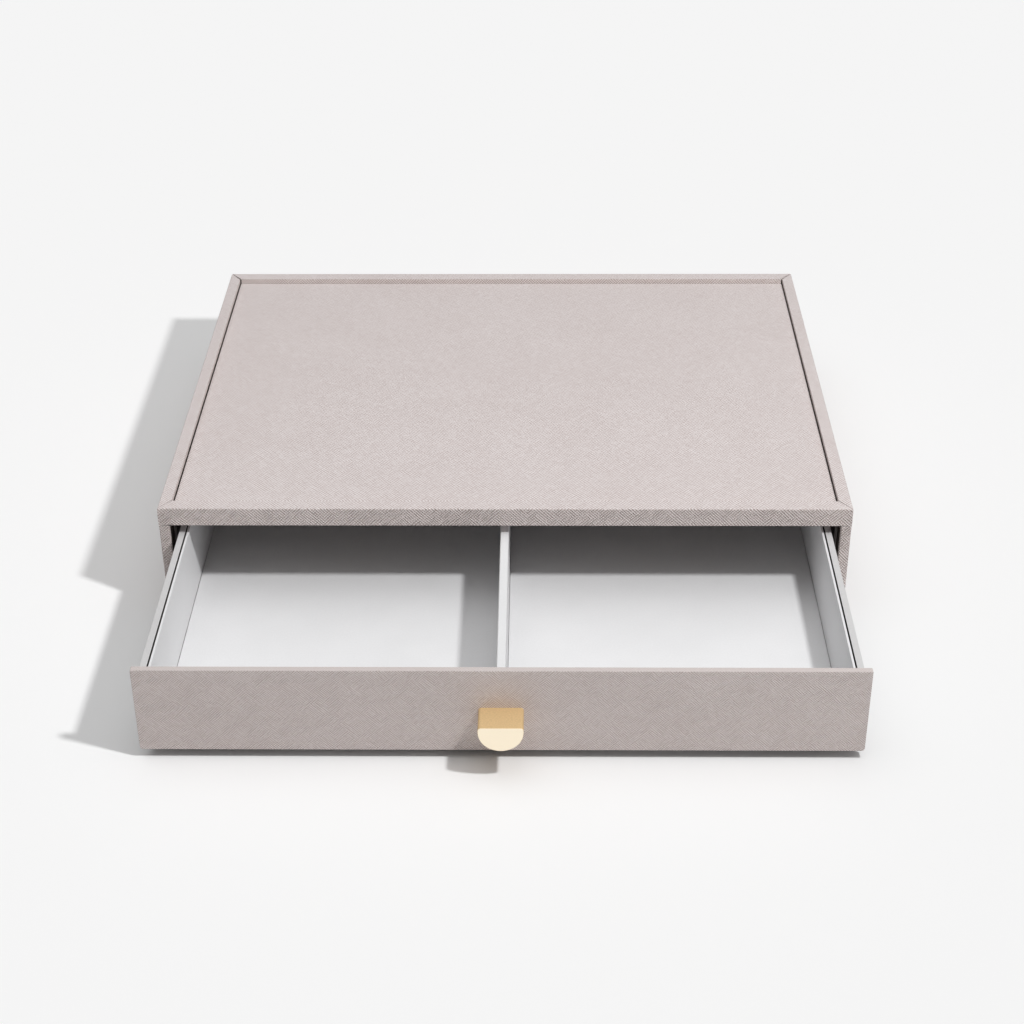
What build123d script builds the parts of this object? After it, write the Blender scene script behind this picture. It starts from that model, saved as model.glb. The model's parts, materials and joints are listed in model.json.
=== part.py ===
from build123d import *
import os

os.makedirs("parts", exist_ok=True)

# A low box with one wide drawer, covered in leatherette. Millimetres, +Z up, front towards -Y.
# The origin is the centre of the case on the surface that it stands on.

# Case
case_width = 300.0
case_depth = 240.0
case_height = 53.0
rim_side = 5.4  # width of the raised rim at the left and right
rim_end = 6.8  # width of the raised rim at the front and back
rim_rise = 2.6  # height of the rim above the inset panel
turn_in = 12.0  # how far each covering sheet is turned in at the mouth
mitre_gap = 0.14  # slit between two covering sheets at a rim corner
panel_gap = 0.7  # groove round the inset panel
felt_inset = 2.0  # edge of the base sheet behind the edge of the case
case_corner = 0.5  # rounding of the upright corners at the back

# Sheets and boards
wrap = 0.6  # leatherette
side_board_thick = 3.3
back_board_thick = 3.3
top_board_thick = 3.8
bottom_board_thick = 2.7
panel_board_thick = 1.2
side_lining_thick = 1.0
back_lining_thick = 1.0
top_lining_thick = 0.6
bottom_lining_thick = 0.6
felt_thick = 0.6

# Drawer
drawer_open = 103.6  # how far the drawer stands open at rest
front_board_thick = 1.6
front_turn_in = 12.0  # border of leatherette on the back of the drawer front
front_lip = 3.7  # rise of the drawer front above the drawer walls
drawer_wall_thick = 3.0
drawer_bottom_thick = 1.5
liner_thick = 1.3
floor_liner_thick = 0.6
divider_thick = 3.7
front_corner = 0.4  # rounding of the drawer front's outer edges

# Clearances of the drawer in the case
run_clearance = 0.3  # under the drawer
front_side_gap = 1.3  # beside the drawer front
front_top_gap = 1.0  # above the drawer front
side_gap = 3.1  # beside the drawer walls
rear_gap = 3.0  # behind the drawer when it is shut

# Knob and its screws
knob_width = 17.9
knob_straight = 2.2  # upright part of the outline above the half circle
knob_corner = 1.2
knob_reach = 13.2  # how far it stands out from the drawer front
knob_edge = 0.35
knob_top_above_front = 21.2  # from the lower edge of the drawer front
screw_spacing = 9.0
screw_drop = 5.0  # below the top of the knob
screw_radius = 1.5
screw_bite = 5.4
screw_head_radius = 2.75
screw_head_high = 1.6
washer_radius = 3.0
washer_thick = 0.4
recess_width = 0.8
recess_length = 3.2
recess_depth = 0.9
thread_clearance = 0.05
hole_clearance = 0.15
washer_clearance = 0.3
head_clearance = 0.1
hole_spare = 0.6

# Case planes
half_width = case_width / 2
half_depth = case_depth / 2
front_y = -half_depth
core_x = half_width - wrap
core_y = half_depth - wrap
side_in_x = core_x - side_board_thick
mouth_x = side_in_x - wrap
lining_x = side_in_x - side_lining_thick
back_in_y = core_y - back_board_thick
lining_back_y = back_in_y - back_lining_thick
turn_in_y = front_y + turn_in
rim_in_x = half_width - rim_side
rim_in_y = half_depth - rim_end

# Case levels
bottom_top = felt_thick + bottom_board_thick
run_level = bottom_top + max(wrap, bottom_lining_thick)
panel_level = case_height - rim_rise
top_board_top = panel_level - wrap - panel_board_thick
top_board_low = top_board_top - top_board_thick
header_low = top_board_low - wrap
rim_core_top = case_height - wrap
lining_low = bottom_top + bottom_lining_thick
lining_top = top_board_low - top_lining_thick

# Drawer planes, as it stands at rest
face_y = front_y - drawer_open
front_board_y = face_y + wrap
front_filler_y = front_board_y + front_board_thick
front_back_y = front_filler_y + wrap
front_half = mouth_x - front_side_gap
drawer_half = lining_x - side_gap
wall_in_x = drawer_half - drawer_wall_thick
liner_in_x = wall_in_x - liner_thick
drawer_back_y = lining_back_y - rear_gap - drawer_open
inner_front_y = front_back_y + drawer_wall_thick
back_wall_y = drawer_back_y - drawer_wall_thick
front_liner_y = inner_front_y + liner_thick
back_liner_y = back_wall_y - liner_thick

# Drawer levels
drawer_low = run_level + run_clearance
front_top = header_low - front_top_gap
wall_low = drawer_low + drawer_bottom_thick
wall_top = front_top - front_lip
floor_level = wall_low + floor_liner_thick

# Knob and screw places
knob_radius = knob_width / 2
knob_top = drawer_low + knob_top_above_front
knob_centre_z = knob_top - knob_straight
screw_z = knob_top - screw_drop
screw_x = screw_spacing / 2
washer_seat_y = inner_front_y - screw_head_high - washer_thick - head_clearance
head_seat_y = washer_seat_y + washer_thick
screw_tip_y = face_y - screw_bite
hole_radius = screw_radius + hole_clearance
screw_points = [(-screw_x, screw_z), (screw_x, screw_z)]


def block(x_range, y_range, z_range, mode=Mode.ADD):
    """A box between two values along each axis, in the part being built."""
    low = [min(r) for r in (x_range, y_range, z_range)]
    size = [max(r) - min(r) for r in (x_range, y_range, z_range)]
    with Locations([tuple(low)]):
        Box(*size, align=(Align.MIN, Align.MIN, Align.MIN), mode=mode)


def flat_shape(points, low, high):
    """A plate of the given outline between two levels."""
    with BuildSketch(Plane.XY.offset(low)) as outline:
        Polygon(*points, align=None)
    extrude(outline.sketch, amount=high - low, dir=(0, 0, 1))


def screw_bars(radius, y_from, y_to, mode=Mode.SUBTRACT):
    """Round bars on the axes of the screws, cut away or added."""
    with BuildSketch(Plane.XZ.offset(-y_to)) as circles:
        with Locations(screw_points):
            Circle(radius)
    extrude(circles.sketch, amount=y_to - y_from, mode=mode)


# ---------------------------------------------------------------- case boards
with BuildPart() as bottom_board:
    block((-core_x, core_x), (-core_y, core_y), (felt_thick, bottom_top))
bottom_board.part.label = "bottom_board"
export_step(bottom_board.part, "parts/bottom_board.step")

with BuildPart() as top_board:
    block((-core_x, core_x), (-core_y, core_y), (top_board_low, top_board_top))
top_board.part.label = "top_board"
export_step(top_board.part, "parts/top_board.step")

with BuildPart() as back_board:
    block((-side_in_x, side_in_x), (back_in_y, core_y), (bottom_top, top_board_low))
back_board.part.label = "back_board"
export_step(back_board.part, "parts/back_board.step")

for hand, side in ((-1, "left"), (1, "right")):
    with BuildPart() as side_board:
        block((hand * side_in_x, hand * core_x), (-core_y, core_y), (bottom_top, top_board_low))
    side_board.part.label = f"{side}_side_board"
    export_step(side_board.part, f"parts/{side}_side_board.step")

# ---------------------------------------------------------------- raised rim, four mitred strips
strip_in_x = rim_in_x + wrap
strip_in_y = rim_in_y + wrap

for hand, side in ((-1, "left"), (1, "right")):
    with BuildPart() as rim_strip:
        outer = hand * core_x
        inner = hand * strip_in_x
        corners = [(outer, -core_y), (outer, core_y), (inner, strip_in_y), (inner, -strip_in_y)]
        flat_shape(corners, top_board_top, rim_core_top)
    rim_strip.part.label = f"rim_strip_{side}"
    export_step(rim_strip.part, f"parts/rim_strip_{side}.step")

for hand, end in ((-1, "front"), (1, "back")):
    with BuildPart() as rim_strip:
        outer = hand * core_y
        inner = hand * strip_in_y
        corners = [(-core_x, outer), (core_x, outer), (strip_in_x, inner), (-strip_in_x, inner)]
        flat_shape(corners, top_board_top, rim_core_top)
    rim_strip.part.label = f"rim_strip_{end}"
    export_step(rim_strip.part, f"parts/rim_strip_{end}.step")

# ---------------------------------------------------------------- inset panel
cover_x = rim_in_x - panel_gap
cover_y = rim_in_y - panel_gap
panel_x = cover_x - wrap
panel_y = cover_y - wrap

with BuildPart() as top_panel_board:
    block((-panel_x, panel_x), (-panel_y, panel_y), (top_board_top, panel_level - wrap))
top_panel_board.part.label = "top_panel_board"
export_step(top_panel_board.part, "parts/top_panel_board.step")

with BuildPart() as top_panel_cover:
    block((-cover_x, cover_x), (-cover_y, cover_y), (top_board_top, panel_level))
    fillet(top_panel_cover.edges().group_by(Axis.Z)[-1], radius=wrap / 2)
    block((-panel_x, panel_x), (-panel_y, panel_y), (top_board_top, panel_level - wrap), Mode.SUBTRACT)
top_panel_cover.part.label = "top_panel_cover"
export_step(top_panel_cover.part, "parts/top_panel_cover.step")

# ---------------------------------------------------------------- leatherette of the case
# One sheet goes round the left, the back and the right, over the rim and down its inner face.
# At the mouth it turns round the front edges of the side boards.
with BuildPart() as case_wrap:
    block((-half_width, half_width), (-core_y, half_depth), (felt_thick, rim_core_top))
    back_corners = case_wrap.edges().filter_by(Axis.Z).group_by(Axis.Y)[-1]
    fillet(back_corners, radius=case_corner)
    block((-core_x, core_x), (-core_y, core_y), (felt_thick, rim_core_top), Mode.SUBTRACT)
    for hand in (-1, 1):
        edge = (hand * mouth_x, hand * half_width)
        block(edge, (front_y, -core_y), (felt_thick, header_low))
        block((hand * mouth_x, hand * side_in_x), (-core_y, turn_in_y), (bottom_top, top_board_low))
        slit_out = half_depth - mitre_gap
        slit_in = rim_in_y - mitre_gap
        outer = hand * half_width
        inner = hand * rim_in_x
        corners = [(outer, -slit_out), (outer, slit_out), (inner, slit_in), (inner, -slit_in)]
        flat_shape(corners, rim_core_top, case_height)
        block((hand * rim_in_x, hand * strip_in_x), (-slit_in, slit_in), (top_board_top, rim_core_top))
    corners = [(-half_width, half_depth), (half_width, half_depth), (rim_in_x, rim_in_y), (-rim_in_x, rim_in_y)]
    flat_shape(corners, rim_core_top, case_height)
    block((-strip_in_x, strip_in_x), (rim_in_y, strip_in_y), (top_board_top, rim_core_top))
case_wrap.part.label = "case_wrap"
export_step(case_wrap.part, "parts/case_wrap.step")

# A second sheet covers the front edge of the top and the front rim, and turns under the top board.
with BuildPart() as header_wrap:
    block((-half_width, half_width), (front_y, -core_y), (header_low, rim_core_top))
    corners = [(-half_width, front_y), (half_width, front_y), (rim_in_x, -rim_in_y), (-rim_in_x, -rim_in_y)]
    flat_shape(corners, rim_core_top, case_height)
    block((-strip_in_x, strip_in_x), (-strip_in_y, -rim_in_y), (top_board_top, rim_core_top))
    block((-mouth_x, mouth_x), (-core_y, turn_in_y), (header_low, top_board_low))
header_wrap.part.label = "header_wrap"
export_step(header_wrap.part, "parts/header_wrap.step")

with BuildPart() as sill_wrap:
    block((-mouth_x, mouth_x), (front_y, -core_y), (felt_thick, bottom_top + wrap))
    block((-mouth_x, mouth_x), (-core_y, turn_in_y), (bottom_top, bottom_top + wrap))
sill_wrap.part.label = "sill_wrap"
export_step(sill_wrap.part, "parts/sill_wrap.step")

# ---------------------------------------------------------------- lining of the case and base sheet
with BuildPart() as bottom_lining:
    block((-side_in_x, side_in_x), (turn_in_y, back_in_y), (bottom_top, lining_low))
bottom_lining.part.label = "bottom_lining"
export_step(bottom_lining.part, "parts/bottom_lining.step")

with BuildPart() as top_lining:
    block((-side_in_x, side_in_x), (turn_in_y, back_in_y), (lining_top, top_board_low))
top_lining.part.label = "top_lining"
export_step(top_lining.part, "parts/top_lining.step")

with BuildPart() as back_lining:
    block((-lining_x, lining_x), (lining_back_y, back_in_y), (lining_low, lining_top))
back_lining.part.label = "back_lining"
export_step(back_lining.part, "parts/back_lining.step")

for hand, side in ((-1, "left"), (1, "right")):
    with BuildPart() as side_lining:
        block((hand * lining_x, hand * side_in_x), (turn_in_y, back_in_y), (lining_low, lining_top))
    side_lining.part.label = f"{side}_lining"
    export_step(side_lining.part, f"parts/{side}_lining.step")

with BuildPart() as base_felt:
    felt_x = half_width - felt_inset
    felt_y = half_depth - felt_inset
    block((-felt_x, felt_x), (-felt_y, felt_y), (0, felt_thick))
base_felt.part.label = "base_felt"
export_step(base_felt.part, "parts/base_felt.step")

# ---------------------------------------------------------------- drawer front
board_half = front_half - wrap
window_half = front_half - front_turn_in
board_levels = (drawer_low + wrap, front_top - wrap)
window_levels = (drawer_low + front_turn_in, front_top - front_turn_in)

with BuildPart() as drawer_front_board:
    block((-board_half, board_half), (front_board_y, front_filler_y), board_levels)
    screw_bars(hole_radius, front_board_y, front_filler_y)
drawer_front_board.part.label = "drawer_front_board"
export_step(drawer_front_board.part, "parts/drawer_front_board.step")

with BuildPart() as drawer_front_cover:
    block((-front_half, front_half), (face_y, front_back_y), (drawer_low, front_top))
    fillet(drawer_front_cover.edges().group_by(Axis.Y)[0], radius=front_corner)
    block((-board_half, board_half), (front_board_y, front_filler_y), board_levels, Mode.SUBTRACT)
    block((-window_half, window_half), (front_filler_y, front_back_y), window_levels, Mode.SUBTRACT)
    screw_bars(hole_radius, face_y, front_back_y)
drawer_front_cover.part.label = "drawer_front_cover"
export_step(drawer_front_cover.part, "parts/drawer_front_cover.step")

with BuildPart() as drawer_front_filler:
    block((-window_half, window_half), (front_filler_y, front_back_y), window_levels)
    screw_bars(hole_radius, front_filler_y, front_back_y)
drawer_front_filler.part.label = "drawer_front_filler"
export_step(drawer_front_filler.part, "parts/drawer_front_filler.step")

# ---------------------------------------------------------------- drawer walls and bottom
with BuildPart() as drawer_bottom:
    block((-drawer_half, drawer_half), (front_back_y, drawer_back_y), (drawer_low, wall_low))
drawer_bottom.part.label = "drawer_bottom"
export_step(drawer_bottom.part, "parts/drawer_bottom.step")

for hand, side in ((-1, "left"), (1, "right")):
    with BuildPart() as drawer_wall:
        block((hand * wall_in_x, hand * drawer_half), (front_back_y, drawer_back_y), (wall_low, wall_top))
    drawer_wall.part.label = f"drawer_{side}_wall"
    export_step(drawer_wall.part, f"parts/drawer_{side}_wall.step")

with BuildPart() as drawer_inner_front:
    block((-wall_in_x, wall_in_x), (front_back_y, inner_front_y), (wall_low, wall_top))
    screw_bars(hole_radius, front_back_y, inner_front_y)
    screw_bars(washer_radius + washer_clearance, washer_seat_y, inner_front_y)
drawer_inner_front.part.label = "drawer_inner_front"
export_step(drawer_inner_front.part, "parts/drawer_inner_front.step")

with BuildPart() as drawer_back_wall:
    block((-wall_in_x, wall_in_x), (back_wall_y, drawer_back_y), (wall_low, wall_top))
drawer_back_wall.part.label = "drawer_back_wall"
export_step(drawer_back_wall.part, "parts/drawer_back_wall.step")

# ---------------------------------------------------------------- liners and partition
with BuildPart() as drawer_floor_liner:
    block((-wall_in_x, wall_in_x), (inner_front_y, back_wall_y), (wall_low, floor_level))
drawer_floor_liner.part.label = "drawer_floor_liner"
export_step(drawer_floor_liner.part, "parts/drawer_floor_liner.step")

for hand, side in ((-1, "left"), (1, "right")):
    with BuildPart() as side_liner:
        block((hand * liner_in_x, hand * wall_in_x), (inner_front_y, back_wall_y), (floor_level, wall_top))
        inner_top = side_liner.edges().group_by(Axis.Z)[-1].filter_by(Axis.Y).sort_by(Axis.X)
        fillet(inner_top[-1] if hand < 0 else inner_top[0], radius=liner_thick / 2)
    side_liner.part.label = f"drawer_{side}_liner"
    export_step(side_liner.part, f"parts/drawer_{side}_liner.step")

with BuildPart() as drawer_front_liner:
    block((-liner_in_x, liner_in_x), (inner_front_y, front_liner_y), (floor_level, wall_top))
drawer_front_liner.part.label = "drawer_front_liner"
export_step(drawer_front_liner.part, "parts/drawer_front_liner.step")

with BuildPart() as drawer_back_liner:
    block((-liner_in_x, liner_in_x), (back_liner_y, back_wall_y), (floor_level, wall_top))
drawer_back_liner.part.label = "drawer_back_liner"
export_step(drawer_back_liner.part, "parts/drawer_back_liner.step")

with BuildPart() as drawer_divider:
    block((-divider_thick / 2, divider_thick / 2), (front_liner_y, back_liner_y), (floor_level, wall_top))
drawer_divider.part.label = "drawer_divider"
export_step(drawer_divider.part, "parts/drawer_divider.step")

# ---------------------------------------------------------------- knob
# A solid bar with a half-round lower side, standing out of the drawer front.
with BuildPart() as knob:
    with BuildSketch(Plane.XZ.offset(-face_y)):
        with BuildLine():
            RadiusArc((-knob_radius, knob_centre_z), (knob_radius, knob_centre_z), -knob_radius)
            Polyline(
                (knob_radius, knob_centre_z),
                (knob_radius, knob_top),
                (-knob_radius, knob_top),
                (-knob_radius, knob_centre_z),
            )
        outline = make_face()
        fillet(outline.vertices().group_by(Axis.Z)[-1], radius=knob_corner)
    extrude(amount=knob_reach)
    fillet(knob.edges().group_by(Axis.Y)[0], radius=knob_edge)
    screw_bars(screw_radius + thread_clearance, screw_tip_y - hole_spare, face_y)
knob.part.label = "knob"
export_step(knob.part, "parts/knob.step")

with BuildPart() as knob_washers:
    screw_bars(washer_radius, washer_seat_y, head_seat_y, Mode.ADD)
    screw_bars(hole_radius, washer_seat_y, head_seat_y)
knob_washers.part.label = "knob_washers"
export_step(knob_washers.part, "parts/knob_washers.step")

with BuildPart() as knob_screws:
    head_top_y = head_seat_y + screw_head_high
    screw_bars(screw_head_radius, head_seat_y, head_top_y, Mode.ADD)
    screw_bars(screw_radius, screw_tip_y, head_seat_y, Mode.ADD)
    with BuildSketch(Plane.XZ.offset(-head_top_y)):
        with Locations(screw_points):
            Rectangle(recess_length, recess_width)
            Rectangle(recess_width, recess_length)
    extrude(amount=recess_depth, mode=Mode.SUBTRACT)
knob_screws.part.label = "knob_screws"
export_step(knob_screws.part, "parts/knob_screws.step")

print("case", case_width, "x", case_depth, "x", case_height)
print("drawer front", 2 * front_half, "x", round(front_top - drawer_low, 2), "at", round(-face_y - half_depth, 2))
print("compartment", round(liner_in_x - divider_thick / 2, 2), "x", round(back_liner_y - front_liner_y, 2))
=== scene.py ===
import json
from math import pi, radians

import bmesh
import bpy
from mathutils import Euler, Matrix, Vector

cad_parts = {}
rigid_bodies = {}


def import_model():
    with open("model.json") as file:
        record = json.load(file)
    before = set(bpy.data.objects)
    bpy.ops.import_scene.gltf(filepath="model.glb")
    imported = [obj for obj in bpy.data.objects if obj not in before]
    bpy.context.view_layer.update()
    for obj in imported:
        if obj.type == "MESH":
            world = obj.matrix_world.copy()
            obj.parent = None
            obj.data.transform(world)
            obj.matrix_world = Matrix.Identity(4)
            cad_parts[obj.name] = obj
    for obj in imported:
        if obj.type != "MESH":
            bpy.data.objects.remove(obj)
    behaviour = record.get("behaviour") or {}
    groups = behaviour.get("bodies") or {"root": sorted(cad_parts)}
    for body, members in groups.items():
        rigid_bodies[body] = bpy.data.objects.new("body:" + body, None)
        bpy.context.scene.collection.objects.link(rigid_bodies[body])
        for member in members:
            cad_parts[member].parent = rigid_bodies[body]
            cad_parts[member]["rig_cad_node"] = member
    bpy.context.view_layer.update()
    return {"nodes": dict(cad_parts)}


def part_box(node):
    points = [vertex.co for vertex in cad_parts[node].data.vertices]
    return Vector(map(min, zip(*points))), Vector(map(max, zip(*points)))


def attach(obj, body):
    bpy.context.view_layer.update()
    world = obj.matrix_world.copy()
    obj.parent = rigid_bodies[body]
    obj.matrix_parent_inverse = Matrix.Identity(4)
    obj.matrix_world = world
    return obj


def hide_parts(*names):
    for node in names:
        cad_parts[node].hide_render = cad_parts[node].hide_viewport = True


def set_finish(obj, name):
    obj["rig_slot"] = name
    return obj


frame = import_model()

# A low leatherette box with one wide drawer. The front faces -Y and the drawer stands open at rest.
mm = 0.001
near = 0.1  # mm, an edge or face this close to a plane belongs to it
tight = 0.01  # mm, the same where a fold is close by
square = 0.9  # share of a normal that makes a face look along an axis
foldAngle = radians(60)  # sharper than this is a corner
smoothAngle = radians(40)
scene = bpy.context.scene


# Small helpers for modelling with the usual operators

def addBlock(name, low, high):  # a box between two corners, to be shaped further
    bpy.ops.object.select_all(action="DESELECT")
    low, high = Vector(low), Vector(high)
    bpy.ops.mesh.primitive_cube_add(size=1, location=(low + high) / 2, scale=high - low)
    piece = bpy.context.object
    piece.name = piece.data.name = name
    bpy.ops.object.transform_apply(location=True, rotation=True, scale=True)
    bpy.ops.object.mode_set(mode="EDIT")
    return piece


def middle(item):
    if isinstance(item, bmesh.types.BMFace):
        return item.calc_center_median()
    return (item.verts[0].co + item.verts[1].co) / 2


def pick(kind, test):  # selects the faces or edges whose middle, in mm, passes the test
    bpy.ops.mesh.select_mode(type={"faces": "FACE", "edges": "EDGE"}[kind])
    bpy.ops.mesh.select_all(action="DESELECT")
    mesh = bmesh.from_edit_mesh(bpy.context.object.data)
    mesh.normal_update()
    for item in getattr(mesh, kind):
        if test(middle(item) / mm, item):
            item.select_set(True)
    bmesh.update_edit_mesh(bpy.context.object.data)


def isFold(e):
    return e.is_manifold and e.is_convex and e.calc_face_angle() > foldAngle


def pickFolds(test=lambda m, e: True):  # outward corners between two faces
    pick("edges", lambda m, e: isFold(e) and test(m, e))


def dropFaces(test):
    pick("faces", test)
    bpy.ops.mesh.delete(type="FACE")


def pull(x=0, y=0, z=0):  # extrudes the selection by so many mm
    bpy.ops.mesh.extrude_region_move(TRANSFORM_OT_translate={"value": (x * mm, y * mm, z * mm)})


def shift(x=0, y=0, z=0):
    bpy.ops.transform.translate(value=(x * mm, y * mm, z * mm))


def roundOff(radius, steps):
    bpy.ops.mesh.bevel(
        offset=radius * mm, segments=steps, profile=0.5, affect="EDGES", clamp_overlap=True)


def cutAt(point, normal, clear=False):
    bpy.ops.mesh.bisect(
        plane_co=Vector(point) * mm, plane_no=normal, clear_outer=clear, threshold=1e-7)


def trim(test, point, normal):  # cuts the chosen faces off at a plane, their neighbours stay whole
    pick("faces", test)
    bpy.ops.mesh.split()
    cutAt(point, normal, clear=True)


def useModifier(piece, kind, **settings):
    modifier = piece.modifiers.new(kind.title(), kind)
    for key, value in settings.items():
        setattr(modifier, key, value)
    bpy.ops.object.modifier_apply(modifier=modifier.name)


def finishShape(piece):
    bpy.ops.object.mode_set(mode="OBJECT")
    bpy.ops.object.shade_smooth_by_angle(angle=smoothAngle)
    useModifier(piece, "WEIGHTED_NORMAL", keep_sharp=True)


def place(piece, body, slot, node):
    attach(piece, body)
    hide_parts(node)
    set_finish(piece, slot)


# Camera, worked out from the corners in the picture

viewPoint = dict(
    place=(0.01368, -0.82258, 0.48789),
    pitch=0.5558, yaw=-0.0148, roll=-0.0067,  # radians, pitch is down from level
    lens=67.498, sensor=36,
    nearest=0.01, farthest=50,
)


def makeCamera(s=viewPoint):
    data = bpy.data.cameras.new("camera")
    data.lens = s["lens"]
    data.sensor_width = s["sensor"]
    data.clip_start, data.clip_end = s["nearest"], s["farthest"]
    camera = bpy.data.objects.new("camera", data)
    scene.collection.objects.link(camera)
    aim = Euler((pi / 2 - s["pitch"], 0, -s["yaw"])).to_matrix()
    turn = aim @ Matrix.Rotation(s["roll"], 3, "Z")
    camera.matrix_world = Matrix.Translation(s["place"]) @ turn.to_4x4()
    scene.camera = camera
    scene.view_settings.view_transform = "Standard"


# Helpers for node trees

def addNode(tree, kind, **values):
    # a value named after an input, with _ for spaces, sets or feeds that input
    # any other value is a setting of the node itself
    node = tree.nodes.new("ShaderNode" + kind)
    for key, value in values.items():
        socket = node.inputs.get(key.replace("_", " "))
        if socket is None or hasattr(node, key):
            setattr(node, key, value)
        elif isinstance(value, bpy.types.NodeSocket):
            tree.links.new(value, socket)
        else:
            socket.default_value = value
    return node


def calc(tree, operation, *terms):
    node = tree.nodes.new("ShaderNodeMath")
    node.operation = operation
    for socket, term in zip(node.inputs, terms):
        if isinstance(term, bpy.types.NodeSocket):
            tree.links.new(term, socket)
        else:
            socket.default_value = term
    return node.outputs[0]


def noise(tree, vector, scale, detail=2.0, roughness=0.5):
    node = addNode(tree, "TexNoise", Vector=vector, Scale=scale, Detail=detail, Roughness=roughness)
    return node.outputs[0]


def ramp(tree, value, low, high, toLow=0.0, toHigh=1.0):
    node = tree.nodes.new("ShaderNodeMapRange")
    node.interpolation_type = "SMOOTHSTEP"
    tree.links.new(value, node.inputs["Value"])
    limits = {"From Min": low, "From Max": high, "To Min": toLow, "To Max": toHigh}
    for key, number in limits.items():
        node.inputs[key].default_value = number
    return node.outputs["Result"]


def blendColour(tree, factor, first, second):
    node = tree.nodes.new("ShaderNodeMix")
    node.data_type = "RGBA"
    tree.links.new(factor, node.inputs["Factor"])
    for key, value in (("A", first), ("B", second)):
        socket = [i for i in node.inputs if i.name == key and i.type == "RGBA"][0]
        if isinstance(value, bpy.types.NodeSocket):
            tree.links.new(value, socket)
        else:
            socket.default_value = value
    return [o for o in node.outputs if o.type == "RGBA"][0]


def chooseShader(tree, factor, first, second):
    node = addNode(tree, "MixShader")
    for socket, value in zip(node.inputs, (factor, first, second)):
        tree.links.new(value, socket)
    return node.outputs[0]


def bump(tree, shader, height, distance):
    node = addNode(tree, "Bump", Height=height, Distance=distance, Strength=1.0)
    tree.links.new(node.outputs[0], shader.inputs["Normal"])


def seenRay(tree):  # 1 for the rays that show the background itself
    rays = addNode(tree, "LightPath")
    seen = calc(tree, "MAXIMUM", rays.outputs["Is Camera Ray"], rays.outputs["Is Glossy Ray"])
    return calc(tree, "MAXIMUM", seen, rays.outputs["Is Transmission Ray"])


# Lamp, sky and floor, worked out from the shadows in the picture

studio = dict(
    lampPlace=(0.2566, -0.3630, 0.5263),
    lampRadius=0.022,
    lampShare=0.585,  # light of the lamp on a surface that faces it
    worldLow=0.06,  # even light from all round
    worldTop=1.90,  # added towards the zenith
    worldGather=4.0,  # how closely that light keeps to the zenith
    worldLeft=0.45,  # brighter from the left by this share
    openSky=0.556,  # what the world adds up to on open floor
    backdrop=0.913,  # what the camera sees behind the floor
    floorTone=0.913,
    floorPalest=0.96,  # the palest the paper may be before it needs a lift
    floorBounce=0.72,  # how much of its light the floor throws back on the object
    floorGrain=0.02,
    floorGrainScale=900.0,
    floorSize=12.0,
)


def makeLamp(s=studio):
    data = bpy.data.lights.new("lamp", "POINT")
    data.shadow_soft_size = s["lampRadius"]
    data.energy = 4 * pi * pi * s["lampShare"]  # the falloff is constant, so distance plays no part
    data.use_nodes = True
    tree = data.node_tree
    falloff = addNode(tree, "LightFalloff", Strength=1.0)
    tree.links.new(falloff.outputs["Constant"], tree.nodes["Emission"].inputs["Strength"])
    lamp = bpy.data.objects.new("lamp", data)
    scene.collection.objects.link(lamp)
    lamp.location = s["lampPlace"]
    lamp.visible_camera = False


def makeSky(s=studio):
    world = bpy.data.worlds.new("world")
    scene.world = world
    world.use_nodes = True
    tree = world.node_tree
    tree.nodes.clear()
    coords = addNode(tree, "TexCoord")
    split = addNode(tree, "SeparateXYZ", Vector=coords.outputs["Generated"])
    height = calc(tree, "MAXIMUM", split.outputs["Z"], 0.0)
    gathered = calc(tree, "POWER", height, s["worldGather"])
    glow = calc(tree, "MULTIPLY_ADD", gathered, s["worldTop"], s["worldLow"])
    fromLeft = calc(tree, "MULTIPLY_ADD", split.outputs["X"], -s["worldLeft"], 1.0)
    light = addNode(tree, "Background", Strength=calc(tree, "MULTIPLY", glow, fromLeft))
    shown = addNode(tree, "Background", Strength=s["backdrop"], Color=(1, 1, 1, 1))
    output = addNode(tree, "OutputWorld")
    both = chooseShader(tree, seenRay(tree), light.outputs[0], shown.outputs[0])
    tree.links.new(both, output.inputs["Surface"])


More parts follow.
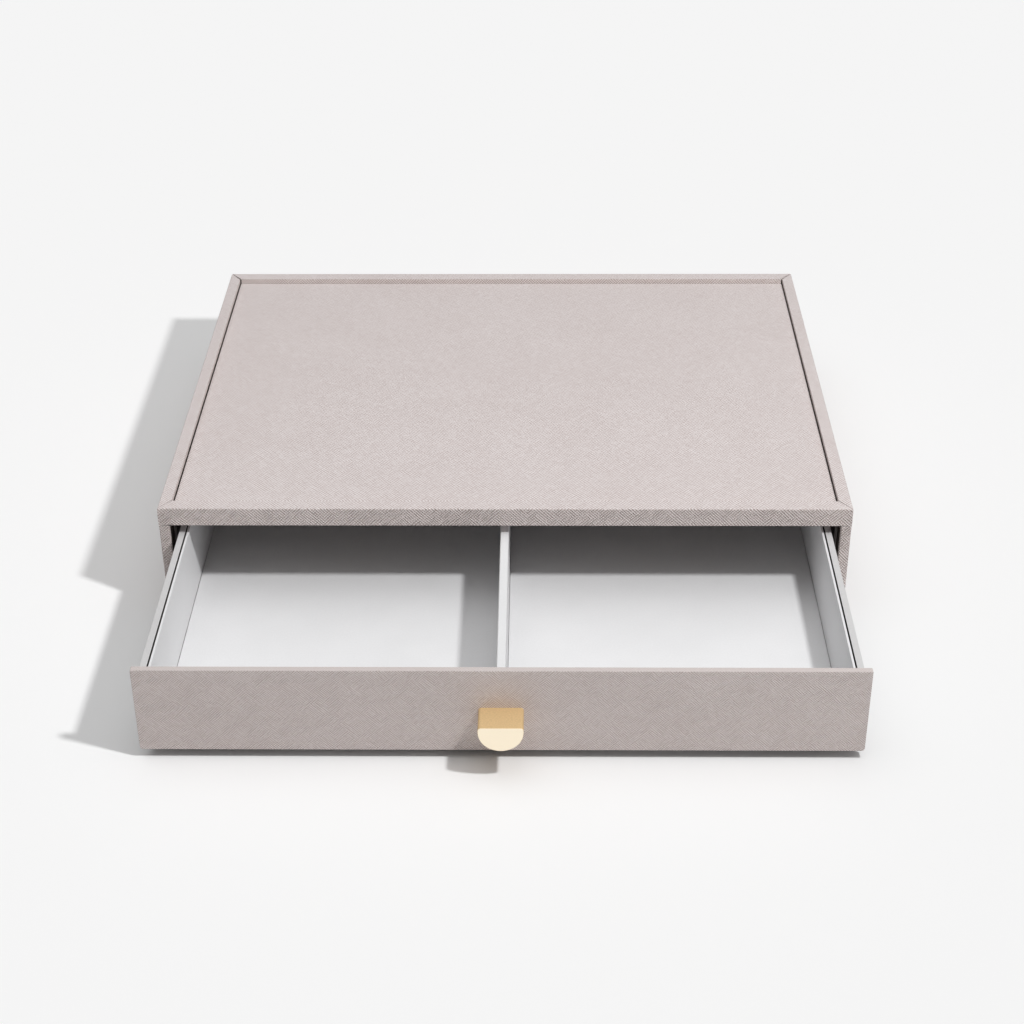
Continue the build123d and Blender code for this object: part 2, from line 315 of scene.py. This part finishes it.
def makeFloor(s=studio):
    bpy.ops.object.select_all(action="DESELECT")
    bpy.ops.mesh.primitive_plane_add(size=s["floorSize"], location=(0, 0, 0))
    floor = bpy.context.object
    floor.name = "floor"
    finish = bpy.data.materials.new("floor_paper")
    finish.use_nodes = True
    tree = finish.node_tree
    tree.nodes.clear()
    coords = addNode(tree, "TexCoord")
    reach = addNode(tree, "VectorMath", operation="DISTANCE")
    tree.links.new(coords.outputs["Object"], reach.inputs[0])
    reach.inputs[1].default_value = s["lampPlace"]
    slant = calc(tree, "DIVIDE", s["lampPlace"][2], reach.outputs["Value"])
    # light on the open floor, then the tone and the lift that bring it to one level all over
    level = calc(tree, "MULTIPLY_ADD", slant, s["lampShare"], s["openSky"])
    tone = calc(tree, "MINIMUM", calc(tree, "DIVIDE", s["floorTone"], level), s["floorPalest"])
    lift = calc(tree, "SUBTRACT", s["floorTone"], calc(tree, "MULTIPLY", tone, level))
    paper = addNode(tree, "BsdfDiffuse")
    tree.links.new(tone, paper.inputs["Color"])
    glow = addNode(tree, "Emission", Strength=lift)
    both = addNode(tree, "AddShader")
    tree.links.new(paper.outputs[0], both.inputs[0])
    tree.links.new(glow.outputs[0], both.inputs[1])
    grain = noise(tree, coords.outputs["Object"], s["floorGrainScale"])
    lowest = s["floorBounce"] - s["floorGrain"] / 2
    bounce = calc(tree, "MULTIPLY_ADD", grain, s["floorGrain"], lowest)
    dull = addNode(tree, "BsdfDiffuse")
    tree.links.new(bounce, dull.inputs["Color"])
    output = addNode(tree, "OutputMaterial")
    shown = chooseShader(tree, seenRay(tree), dull.outputs[0], both.outputs[0])
    tree.links.new(shown, output.inputs["Surface"])
    floor.data.materials.append(finish)


# Finishes

def linear(*shown):  # red, green and blue as a screen shows them, 0 to 255
    def straighten(v):
        return v / 12.92 if v <= 0.04045 else ((v + 0.055) / 1.055) ** 2.4

    return [straighten(v / 255) for v in shown] + [1]


def shade(colour, factor):
    return [min(1, c * factor) for c in colour[:3]] + [1]


def newFinish(name, colour, roughness, specular=0.5, metallic=0.0):
    finish = bpy.data.materials.new(name + "_finish")
    finish.use_nodes = True
    tree = finish.node_tree
    shader = tree.nodes["Principled BSDF"]
    shader.inputs["Base Color"].default_value = colour
    shader.inputs["Roughness"].default_value = roughness
    shader.inputs["Specular IOR Level"].default_value = specular
    shader.inputs["Metallic"].default_value = metallic
    return finish, tree, shader


def ownPlace(tree):  # where on the object, in mm, and which way the surface looks there
    coords = addNode(tree, "TexCoord")
    where = addNode(
        tree, "VectorMath", operation="SCALE", Vector=coords.outputs["Object"], Scale=1 / mm)
    facing = addNode(tree, "SeparateXYZ", Vector=coords.outputs["Normal"])
    return where.outputs[0], facing


leatherette = dict(
    colour=linear(218, 207, 204),
    # dark is painted shade in the grooves of the lines, pale is painted highlight on their ridges
    dark=linear(193, 176, 171),
    pale=linear(240, 232, 229),
    roughness=0.55,
    specular=0.2,
    polish=0.05,  # the tops of the lines are smoother by this much
    patch=4.2,  # mm across a patch where one direction shows more
    patchEdge=(0.40, 0.60),
    weaker=0.3,  # what is left of the other direction there
    wander=8.0,  # radians by which a line strays from its place
    wanderScale=(0.12, 0.05),  # across the lines and along them, per mm
    fade=(0.2, 1.1),  # weakest and strongest part of a line
    fadeEdge=(0.35, 0.65),
    fadeScale=(1.2, 0.3),
    fadeSeed=7.3,
    upSeed=0.0, downSeed=31.0,  # one for each direction of the lines
    cloudScale=0.03,
    cloud=0.2,
    flatter=0.7,  # the lines are pressed less deep by this share on faces that look up
)
# on faces that look up, the last factor of each darkens the colour, a little on the case and more
# on the drawer front: painted shade on the tops
emboss = dict(
    case=dict(  # line to line and depth in mm
        line=1.0, depth=0.20, contrast=1.25, contrastTop=0.75, topPaintedShade=(0.94, 0.955, 0.97, 1)),
    drawer=dict(
        line=0.8, depth=0.09, contrast=0.6, contrastTop=0.2, topPaintedShade=(0.85, 0.86, 0.86, 1)),
)
facesAlong = 0.707  # share of a normal from which a face counts as looking along an axis
diagonal = 0.7071


def strokes(tree, cross, along, seed, spacing, s=leatherette):
    # fine parallel lines that fade in and out along their length
    def spread(scales, layer):
        node = addNode(tree, "CombineXYZ")
        for socket, way, scale in zip(node.inputs, (cross, along), scales):
            tree.links.new(calc(tree, "MULTIPLY", way, scale), socket)
        node.inputs[2].default_value = layer
        return node.outputs[0]

    drift = noise(tree, spread(s["wanderScale"], seed), 1.0, 1.0)
    straight = calc(tree, "MULTIPLY", cross, 2 * pi / spacing)
    wave = calc(tree, "SINE", calc(tree, "MULTIPLY_ADD", drift, s["wander"], straight))
    faded = noise(tree, spread(s["fadeScale"], seed + s["fadeSeed"]), 1.0, 2.0, 0.6)
    strength = ramp(tree, faded, *s["fadeEdge"], *s["fade"])
    return calc(tree, "MULTIPLY", wave, strength)


def makeLeatherette(body, s=leatherette):
    name = f"{body}_leatherette"
    finish, tree, shader = newFinish(name, s["colour"], s["roughness"], s["specular"])
    grain = emboss[body]
    where, facing = ownPlace(tree)
    spot = addNode(tree, "SeparateXYZ", Vector=where)
    facesX, facesZ = (
        calc(tree, "GREATER_THAN", calc(tree, "ABSOLUTE", facing.outputs[axis]), facesAlong)
        for axis in "XZ")
    flat = []  # the two directions that lie in the face
    for choice, first, second in ((facesX, "X", "Y"), (facesZ, "Z", "Y")):
        node = addNode(tree, "Mix", data_type="FLOAT")
        tree.links.new(choice, node.inputs[0])
        tree.links.new(spot.outputs[first], node.inputs[2])
        tree.links.new(spot.outputs[second], node.inputs[3])
        flat.append(node.outputs[0])
    rising = calc(tree, "MULTIPLY", calc(tree, "ADD", *flat), diagonal)
    falling = calc(tree, "MULTIPLY", calc(tree, "SUBTRACT", *flat), diagonal)
    linesUp = strokes(tree, falling, rising, s["upSeed"], grain["line"])
    linesDown = strokes(tree, rising, falling, s["downSeed"], grain["line"])

    patches = ramp(tree, noise(tree, where, 1 / s["patch"], 1.0), *s["patchEdge"])
    shareUp = calc(tree, "MULTIPLY_ADD", patches, 1 - s["weaker"], s["weaker"])
    shareDown = calc(tree, "MULTIPLY_ADD", patches, s["weaker"] - 1, 1.0)
    up = calc(tree, "MULTIPLY", linesUp, shareUp)
    down = calc(tree, "MULTIPLY", linesDown, shareDown)
    height = calc(tree, "ADD", up, down)

    # the embossed lines also set the colour: dark in their grooves and pale on their ridges,
    # painted shade and painted highlight on top of the bump, weaker on faces that look up
    lessOnTop = grain["contrastTop"] - grain["contrast"]
    contrast = calc(tree, "MULTIPLY_ADD", facesZ, lessOnTop, grain["contrast"])
    cloud = noise(tree, where, s["cloudScale"], 3.0)
    middleTone = calc(tree, "MULTIPLY_ADD", cloud, s["cloud"], 0.5 - s["cloud"] / 2)
    tone = calc(tree, "ADD", calc(tree, "MULTIPLY", height, contrast), middleTone)
    low = blendColour(tree, ramp(tree, tone, 0.0, 0.5), s["dark"], s["colour"])
    colour = blendColour(tree, ramp(tree, tone, 0.5, 1.0), low, s["pale"])
    # faces that look up take the darker colour: painted shade on the tops
    topShaded = addNode(tree, "VectorMath", operation="MULTIPLY", Vector=colour)
    topShadeFactor = blendColour(tree, facesZ, (1, 1, 1, 1), grain["topPaintedShade"])
    tree.links.new(topShadeFactor, topShaded.inputs[1])
    tree.links.new(topShaded.outputs[0], shader.inputs["Base Color"])

    satin = calc(tree, "MULTIPLY_ADD", height, -s["polish"], s["roughness"])
    tree.links.new(satin, shader.inputs["Roughness"])
    pressed = calc(tree, "MULTIPLY_ADD", facesZ, -s["flatter"], 1.0)
    bump(tree, shader, calc(tree, "MULTIPLY", height, pressed), grain["depth"] * mm)
    return finish


slotShade = linear(58, 55, 53)
cards = dict(
    # for the wall and its liner, one entry paints near-black shade on the faces that line the slot
    # between them:
    # 1 to those that look away from the middle, -1 to those that look towards it
    drawer_lining=dict(
        colour=linear(227, 227, 228), roughness=0.5, specular=0.4,
        fleck=0.03, depth=0.004, grain=0.9, slotShadeSide=1),
    drawer_wall=dict(
        colour=linear(204, 203, 203), roughness=0.6, specular=0.35,
        fleck=0.05, depth=0.008, grain=0.7, slotShadeSide=-1),
    case_lining=dict(
        colour=linear(168, 162, 159), roughness=0.7, specular=0.3,
        fleck=0.05, depth=0.008, grain=0.7),
    board=dict(
        colour=linear(92, 84, 78), roughness=0.85, specular=0.2,
        fleck=0.22, depth=0.03, grain=0.5),
    filler_card=dict(
        colour=linear(196, 188, 184), roughness=0.75, specular=0.25,
        fleck=0.08, depth=0.01, grain=0.6),
    base_felt=dict(
        colour=linear(120, 113, 110), roughness=0.95, specular=0.1,
        fleck=0.35, depth=0.08, grain=0.25),
)
cardMix = dict(
    tooth=0.6,  # the rest of the tone is cloud
    edge=(0.3, 0.7),  # from dark to pale
    cloudScale=0.05,
    paler=0.6,  # pale flecks against dark ones
    sideFrom=120.0,  # mm from the middle, the partition is nearer than this
)


def makeCard(name, s, mix=cardMix):  # faint clouds and a little tooth
    finish, tree, shader = newFinish(name, s["colour"], s["roughness"], s["specular"])
    where, facing = ownPlace(tree)
    tooth = noise(tree, where, 1 / s["grain"], 4.0, 0.65)
    cloud = calc(tree, "MULTIPLY", noise(tree, where, mix["cloudScale"]), 1 - mix["tooth"])
    tone = calc(tree, "MULTIPLY_ADD", tooth, mix["tooth"], cloud)
    dark = shade(s["colour"], 1 - s["fleck"])
    pale = shade(s["colour"], 1 + s["fleck"] * mix["paler"])
    colour = blendColour(tree, ramp(tree, tone, *mix["edge"]), dark, pale)
    # painted shade: the faces that line the slot between a wall and its liner turn near black
    if "slotShadeSide" in s:
        spot = addNode(tree, "SeparateXYZ", Vector=where)
        outward = calc(tree, "MULTIPLY", spot.outputs["X"], facing.outputs["X"])
        turned = calc(tree, "MULTIPLY", outward, s["slotShadeSide"])
        inSlot = calc(tree, "GREATER_THAN", turned, mix["sideFrom"])
        colour = blendColour(tree, inSlot, colour, slotShade)
    tree.links.new(colour, shader.inputs["Base Color"])
    bump(tree, shader, tooth, s["depth"] * mm)
    return finish


metals = dict(
    # face is the colour of the flat front, side that of the sides: painted sheen on the front and
    # painted shade on the sides, set by the way a face looks
    gold_metal=dict(
        face=(1.0, 0.89, 0.70, 1), roughness=0.30,
        side=(0.735, 0.525, 0.275, 1), sideMetal=0.35, sideRoughness=0.65),
    screw_steel=dict(
        face=(0.62, 0.61, 0.59, 1), roughness=0.35,
        side=(0.58, 0.57, 0.56, 1), sideMetal=1.0, sideRoughness=0.35),
)
polish = dict(
    frontEdge=(0.2, 0.9),  # how far a face looks forward, from side to front finish
    marksScale=(1500, 3000, 3000),  # per metre, the marks run from left to right
    marksEdge=(0.3, 0.7),
    marksTone=0.86,  # the darkest mark
    marksRoughness=0.10,
    marksDepth=0.002,  # mm
)


def makeMetal(name, s, marking=polish):  # bright on the flat front, satin on the sides; the paler front colour is painted sheen and the deeper gold of the sides is painted shade
    finish, tree, shader = newFinish(name, s["face"], s["roughness"], metallic=1.0)
    coords = addNode(tree, "TexCoord")
    facing = addNode(tree, "SeparateXYZ", Vector=coords.outputs["Normal"])
    forward = calc(tree, "MULTIPLY", facing.outputs["Y"], -1.0)
    front = ramp(tree, forward, *marking["frontEdge"])
    if s["sideMetal"] < 1:
        metallic = calc(tree, "MULTIPLY_ADD", front, 1 - s["sideMetal"], s["sideMetal"])
        tree.links.new(metallic, shader.inputs["Metallic"])
    stretched = addNode(tree, "VectorMath", operation="MULTIPLY", Vector=coords.outputs["Object"])
    stretched.inputs[1].default_value = marking["marksScale"]
    marks = noise(tree, stretched.outputs[0], 1.0, 3.0)
    worn = shade(s["side"], marking["marksTone"])
    side = blendColour(tree, ramp(tree, marks, *marking["marksEdge"]), worn, s["side"])
    # the front colour is blended in by facing: painted sheen on the face that looks forward
    tree.links.new(blendColour(tree, front, side, s["face"]), shader.inputs["Base Color"])
    lowest = s["sideRoughness"] - marking["marksRoughness"] / 2
    satin = calc(tree, "MULTIPLY_ADD", front, s["roughness"] - s["sideRoughness"], lowest)
    rough = calc(tree, "MULTIPLY_ADD", marks, marking["marksRoughness"], satin)
    tree.links.new(rough, shader.inputs["Roughness"])
    bump(tree, shader, marks, marking["marksDepth"] * mm)
    return finish


finishes = {"leatherette": makeLeatherette("case")}
frontFinish = makeLeatherette("drawer")
for cardName, cardSettings in cards.items():
    finishes[cardName] = makeCard(cardName, cardSettings)
for metalName, metalSettings in metals.items():
    finishes[metalName] = makeMetal(metalName, metalSettings)
print("finishes made:", len(finishes) + 1)


# Leatherette sheets of the case

sheet = dict(
    thick=0.55,
    fold=0.6,
    foldSteps=4,
    merge=0.005,  # corners closer than this become one
)


def finishSheet(piece, s=sheet):  # the sheet grows inwards from the skin that shows
    bpy.ops.mesh.select_all(action="SELECT")
    bpy.ops.mesh.remove_doubles(threshold=s["merge"] * mm)
    bpy.ops.object.mode_set(mode="OBJECT")
    useModifier(piece, "SOLIDIFY", thickness=s["thick"] * mm, offset=-1, use_even_offset=True)
    finishShape(piece)


caseCover = dict(
    groove=0.7,  # from the inset panel to the rim
    backSlit=(0.8, 0.5),  # open seam at a mitred corner, at the groove and at the outside
    frontSlit=(0.36, 0.08),
    turnIn=2.0,  # how far the sheet goes into the mouth
    rimShort=0.7,  # at left and right the inner faces end this much above the inset panel
    rimFold=0.3,  # tighter where the sheet goes down to the inset panel
    frontEdge=0.7,  # the front fold of the sides, behind the sheet of the header
    frontGap=0.6,  # and how far back it ends there
)

caseLow, caseHigh = (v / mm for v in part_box("case_wrap"))
headLow, headHigh = (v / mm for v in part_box("header_wrap"))
panelLow, panelHigh = (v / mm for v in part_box("top_panel_cover"))
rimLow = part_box("top_board")[1].z / mm
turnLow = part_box("bottom_board")[1].z / mm
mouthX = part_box("sill_wrap")[1].x / mm
rimX = panelHigh.x + caseCover["groove"]
rimY = panelHigh.y + caseCover["groove"]


def mitreCut(hand, end, side, slit):
    # plane that cuts one sheet off at a rim corner, side 1 for the strip at the front or back
    inner = Vector((hand * rimX, end * rimY, 0))
    outer = Vector((hand * caseHigh.x, end * caseHigh.y, 0))
    seam = (inner - outer).normalized()
    across = Vector((-hand * abs(seam.y), end * abs(seam.x), 0)) * side
    start, stop = inner + across * slit[0] / 2, outer + across * slit[1] / 2
    cut = (stop - start).normalized()
    normal = Vector((cut.y, -cut.x, 0))
    return start, normal if normal.dot(across) < 0 else -normal


def isRimFold(m):  # the inner edge of the rim
    return m.z > caseHigh.z - tight and abs(m.x) < rimX + tight and abs(m.y) < rimY + tight


def isMid(coordinate):
    return abs(coordinate) < near


def foldSheet(tighter):
    pickFolds(lambda m, e: not isRimFold(m))
    roundOff(sheet["fold"], sheet["foldSteps"])
    pickFolds(lambda m, e: isRimFold(m))
    roundOff(tighter, sheet["foldSteps"])


def makeCaseCover(s=caseCover):
    piece = addBlock("case_cover", caseLow * mm, caseHigh * mm)
    rimWide = caseHigh.x - rimX
    pick("faces", lambda m, f: f.normal.z > square)
    bpy.ops.mesh.inset(thickness=rimWide * mm)
    insetY = caseHigh.y - rimWide
    for end in (-1, 1):
        pick("edges", lambda m, e: abs(m.y * end - insetY) < near and isMid(m.x) and m.z > rimLow)
        shift(y=end * (rimY - insetY))
    pick("faces", lambda m, f: f.normal.z > square and isMid(m.x) and isMid(m.y))
    pull(z=rimLow - caseHigh.z)
    bpy.ops.mesh.delete(type="FACE")
    dropFaces(lambda m, f: m.z < caseLow.z + near or m.y < -rimY + near)
    for hand in (-1, 1):
        shortened = (0, 0, panelHigh.z + s["rimShort"])
        trim(lambda m, f: abs(m.x - hand * rimX) < near, shortened, (0, 0, -1))
    for level in (headLow.z, turnLow):
        pick("faces", lambda m, f: abs(m.x) > caseHigh.x - near)
        cutAt((0, 0, level), (0, 0, 1))

    def frontEdge(m, hand):
        return m.x * hand > caseHigh.x - near and m.y < caseLow.y + near and m.z < headLow.z

    for hand in (-1, 1):
        pick("edges", lambda m, e: frontEdge(m, hand))
        pull(x=-hand * (caseHigh.x - mouthX))
        pick("edges", lambda m, e: abs(m.x - hand * mouthX) < near and turnLow < m.z < headLow.z)
        pull(y=s["turnIn"])
    foldSheet(s["rimFold"])

    foldLow = caseHigh.z - sheet["fold"]

    def rimPart(m):
        inside = abs(m.x) < rimX + near and m.y > -rimY - near and m.z > rimLow
        return inside or m.z > foldLow + tight

    def beyond(m, planes):  # in the slit between the planes
        return all((m - point).dot(normal) > 0 for point, normal in planes)

    for hand in (-1, 1):
        planes = [mitreCut(hand, 1, side, s["backSlit"]) for side in (1, -1)]
        for point, normal in planes:
            pick("faces", lambda m, f: rimPart(m))
            cutAt(point, normal)
        dropFaces(lambda m, f: rimPart(m) and beyond(m, planes))
        point, normal = mitreCut(hand, -1, -1, s["frontSlit"])
        trim(lambda m, f: rimPart(m) and m.x * hand > rimX - near, point, normal)
    behindHeader = (0, caseLow.y + s["frontGap"], 0)
    sideX = caseHigh.x - s["frontEdge"]
    trim(lambda m, f: abs(m.x) > sideX and m.z > headLow.z, behindHeader, (0, -1, 0))
    finishSheet(piece)
    place(piece, "case", "leatherette", "case_wrap")


def makeHeaderCover(s=caseCover):
    rimCorner = Vector((headHigh.x, -rimY, headHigh.z))
    piece = addBlock("header_cover", headLow * mm, rimCorner * mm)
    dropFaces(lambda m, f: abs(f.normal.x) > square)
    pick("faces", lambda m, f: m.y > -rimY - near)
    cutAt((0, 0, rimLow), (0, 0, 1))
    dropFaces(lambda m, f: m.y > -rimY - near and m.z < rimLow)
    for hand in (-1, 1):
        pick("faces", lambda m, f: m.z < headLow.z + near)
        cutAt((hand * mouthX, 0, 0), (1, 0, 0))
    dropFaces(lambda m, f: m.z < headLow.z + near and abs(m.x) > mouthX)
    pick("edges", lambda m, e: m.z < headLow.z + near and m.y > -rimY - near)
    shift(y=headHigh.y + rimY)
    foldSheet(s["rimFold"])
    for hand in (-1, 1):
        point, normal = mitreCut(hand, -1, 1, s["frontSlit"])
        trim(lambda m, f: m.y > headLow.y + tight and m.z > rimLow, point, normal)
    finishSheet(piece)
    place(piece, "case", "leatherette", "header_wrap")


def makeSillCover():
    piece = addBlock("sill_cover", *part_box("sill_wrap"))
    dropFaces(lambda m, f: abs(f.normal.x) > square or max(f.normal.y, -f.normal.z) > square)
    pickFolds()
    roundOff(sheet["fold"], sheet["foldSteps"])
    finishSheet(piece)
    place(piece, "case", "leatherette", "sill_wrap")


panelCover = dict(
    spread=0.45,  # how far the sheet reaches into the groove
    fold=0.3,
)


def makePanelCover(s=panelCover):
    spread = Vector((s["spread"], s["spread"], 0))
    piece = addBlock("panel_cover", (panelLow - spread) * mm, (panelHigh + spread) * mm)
    dropFaces(lambda m, f: f.normal.z < -square)
    pickFolds()
    roundOff(s["fold"], sheet["foldSteps"])
    finishSheet(piece)
    place(piece, "case", "leatherette", "top_panel_cover")


# Drawer

frontCover = dict(
    turnIn=12.0,  # border on the back
    topCorner=0.45,
    lowCorner=1.3,
    cornerSteps=5,
    fold=0.8,
)


def makeFrontCover(s=frontCover):
    low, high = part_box("drawer_front_cover")
    piece = addBlock("front_cover", low, high)
    half = (low.z + high.z) / 2 / mm
    pick("faces", lambda m, f: f.normal.y > square)
    bpy.ops.mesh.inset(thickness=s["turnIn"] * mm)
    bpy.ops.mesh.delete(type="FACE")

    def runsBack(e):
        return abs((e.verts[0].co - e.verts[1].co).normalized().y) > square

    for corner, isTop in ((s["topCorner"], True), (s["lowCorner"], False)):
        pickFolds(lambda m, e: (m.z > half) == isTop and runsBack(e))
        roundOff(corner, s["cornerSteps"])
    pickFolds()
    roundOff(s["fold"], sheet["foldSteps"])
    finishSheet(piece)
    place(piece, "drawer", "leatherette", "drawer_front_cover")


wall = dict(
    edge=0.1,
    linerEdge=0.2,
    dividerEdge=0.5,
    edgeSteps=5,
    slot=0.3,  # taken off both the wall and its liner, a dark line between them, its faces painted with shade in the card finish
    floorGap=0.15,  # between the floor card and what stands round it
    floorEdge=0.15,
    floorSteps=2,
)


def makeBoard(name, node, slot, radius, low=(0, 0, 0), high=(0, 0, 0)):
    # a board or card with soft upper edges, low and high move its corners by so many mm
    nodeLow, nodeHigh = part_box(node)
    piece = addBlock(name, nodeLow + Vector(low) * mm, nodeHigh + Vector(high) * mm)
    pickFolds(lambda m, e: m.z > nodeHigh.z / mm - tight)
    roundOff(radius, wall["edgeSteps"])
    finishShape(piece)
    place(piece, "drawer", slot, node)


def makeFloorCard(s=wall):  # one card in each compartment
    low, high = (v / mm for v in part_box("drawer_floor_liner"))
    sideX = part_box("drawer_right_liner")[0].x / mm - s["floorGap"]
    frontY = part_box("drawer_front_liner")[1].y / mm + s["floorGap"]
    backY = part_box("drawer_back_liner")[0].y / mm - s["floorGap"]
    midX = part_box("drawer_divider")[1].x / mm + s["floorGap"]
    corners = Vector((midX, frontY, low.z)) * mm, Vector((sideX, backY, high.z)) * mm
    piece = addBlock("floor_card", *corners)
    bpy.ops.mesh.select_all(action="SELECT")
    bpy.ops.mesh.duplicate()
    shift(x=-midX - sideX)
    pickFolds(lambda m, e: m.z > high.z - tight)
    roundOff(s["floorEdge"], s["floorSteps"])
    finishShape(piece)
    place(piece, "drawer", "drawer_lining", "drawer_floor_liner")


def makeWalls(s=wall):
    slot = s["slot"]
    for name, thinned in (
            ("left_wall", {"high": (-slot, 0, 0)}), ("left_liner", {"low": (slot, 0, 0)}),
            ("right_wall", {"low": (slot, 0, 0)}), ("right_liner", {"high": (-slot, 0, 0)}),
            ("inner_front", {}), ("back_wall", {}),
            ("front_liner", {"low": (0, slot, 0)}), ("back_liner", {"high": (0, -slot, 0)})):
        if name.endswith("liner"):
            makeBoard(name, f"drawer_{name}", "drawer_lining", s["linerEdge"], **thinned)
        else:
            makeBoard(name, f"drawer_{name}", "drawer_wall", s["edge"], **thinned)
    makeFloorCard()
    makeBoard("divider", "drawer_divider", "drawer_lining", s["dividerEdge"])


knobShape = dict(
    roundSteps=72,
    corner=1.2,
    cornerSteps=8,
    edge=0.35,
    edgeSteps=4,
)


def makeKnob(s=knobShape):  # a half disc that hangs from a straight top
    low, high = (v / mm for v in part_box("knob"))
    radius = (high.x - low.x) / 2
    centre = Vector(((low.x + high.x) / 2, (low.y + high.y) / 2, low.z + radius))
    bpy.ops.object.select_all(action="DESELECT")
    bpy.ops.mesh.primitive_cylinder_add(
        vertices=s["roundSteps"], radius=radius * mm, depth=(high.y - low.y) * mm,
        location=centre * mm, rotation=(pi / 2, 0, 0))
    piece = bpy.context.object
    piece.name = piece.data.name = "pull_knob"
    bpy.ops.object.transform_apply(location=True, rotation=True, scale=True)
    bpy.ops.object.mode_set(mode="EDIT")
    bpy.ops.mesh.select_all(action="SELECT")
    bpy.ops.mesh.bisect(
        plane_co=(0, 0, centre.z * mm), plane_no=(0, 0, 1),
        clear_outer=True, use_fill=True, threshold=1e-6)
    pick("faces", lambda m, f: f.normal.z > square and m.z > centre.z - tight)
    pull(z=high.z - centre.z)
    pick("edges", lambda m, e: m.z > high.z - tight and abs(m.x) > radius - tight)
    roundOff(s["corner"], s["cornerSteps"])
    pick("edges", lambda m, e: m.y < low.y + tight and e.calc_face_angle() > foldAngle)
    roundOff(s["edge"], s["edgeSteps"])
    bpy.ops.mesh.select_all(action="SELECT")
    bpy.ops.mesh.normals_make_consistent(inside=False)
    finishShape(piece)
    place(piece, "drawer", "gold_metal", "knob")


def dress():  # every piece and every CAD node gets the finish of its slot
    for node in frame["nodes"].values():
        slotName = node.material_slots[0].material.name.split(".")[0]
        node.material_slots[0].material = finishes[slotName]
    for piece in scene.objects:
        if piece.type == "MESH" and "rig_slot" in piece and "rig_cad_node" not in piece:
            piece.data.materials.clear()
            piece.data.materials.append(finishes[piece["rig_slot"]])
    for part in (frame["nodes"]["drawer_front_cover"], bpy.data.objects["front_cover"]):
        part.material_slots[0].material = frontFinish


makeCamera()
makeLamp()
makeSky()
makeFloor()
print("camera, lamp, sky and floor made")
makeCaseCover()
makeHeaderCover()
makeSillCover()
makePanelCover()
makeFrontCover()
print("leatherette sheets made")
makeWalls()
print("drawer walls and linings made")
makeKnob()
print("knob made")
dress()
